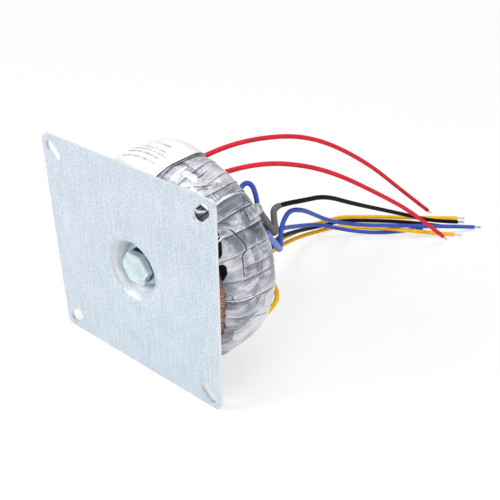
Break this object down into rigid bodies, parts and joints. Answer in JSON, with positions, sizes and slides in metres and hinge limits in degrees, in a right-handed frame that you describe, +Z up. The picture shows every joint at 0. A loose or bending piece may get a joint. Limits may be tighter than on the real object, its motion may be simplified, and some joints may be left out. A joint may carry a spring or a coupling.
{
  "type": "toroidal transformer",
  "caption": "Toroidal power transformer: film-wrapped ring winding clamped to a square slotted mounting plate by a bolt in its dished middle, with flying leads.",
  "frame": {"origin": "centre of the four corner slots, on the plate's outer flat face", "axes": "-Y out of the plate's outer face towards the bolt head, +Y through the winding to the nut, +Z up with the plate standing on its bottom edge, +X to the right seen from the plate's outer side"},
  "size_m": [0.1077, 0.2037, 0.095],
  "materials": {
    "zinc_sheet": "satin, fine mottled zinc",
    "bolt_steel": "bright zinc",
    "washer_steel": "plain zinc",
    "pad_rubber": "matt",
    "core_steel": "strip edges",
    "clear_insulation": "film",
    "primary_copper": "enamelled wire",
    "secondary_copper": "enamelled wire, ridged",
    "film_wrap": "translucent glossy film in bands",
    "label_paper": "bare",
    "lead_red": "semi-gloss insulation",
    "lead_black": "semi-gloss insulation",
    "lead_blue": "semi-gloss insulation",
    "lead_yellow": "semi-gloss insulation",
    "tinned_copper": "tinned strands",
    "pale_sleeve": "thin sleeve"
  },
  "bodies": {
    "root": {"mounting_plate": "zinc_sheet", "centre_bolt": "bolt_steel", "front_pad": "pad_rubber", "rear_pad": "pad_rubber", "rear_dish_washer": "zinc_sheet", "flat_washer": "washer_steel", "spring_washer": "washer_steel", "hex_nut": "bolt_steel", "core": "core_steel", "core_insulation": "clear_insulation", "primary_winding": "primary_copper", "winding_insulation": "clear_insulation", "secondary_winding": "secondary_copper", "outer_wrap": "film_wrap", "splice_pad": "film_wrap", "rating_label": "label_paper", "lead_red_1": "lead_red", "lead_red_2": "lead_red", "lead_black_1": "lead_black", "lead_black_2": "lead_black", "lead_blue_1": "lead_blue", "lead_blue_2": "lead_blue", "lead_yellow_1": "lead_yellow", "lead_yellow_2": "lead_yellow", "strands_red_1": "tinned_copper", "strands_red_2": "tinned_copper", "strands_black_1": "tinned_copper", "strands_black_2": "tinned_copper", "strands_blue_1": "tinned_copper", "strands_blue_2": "tinned_copper", "strands_yellow_1": "tinned_copper", "strands_yellow_2": "tinned_copper", "sleeve_black_1": "pale_sleeve", "sleeve_blue_1": "pale_sleeve"}
  },
  "joints": []
}
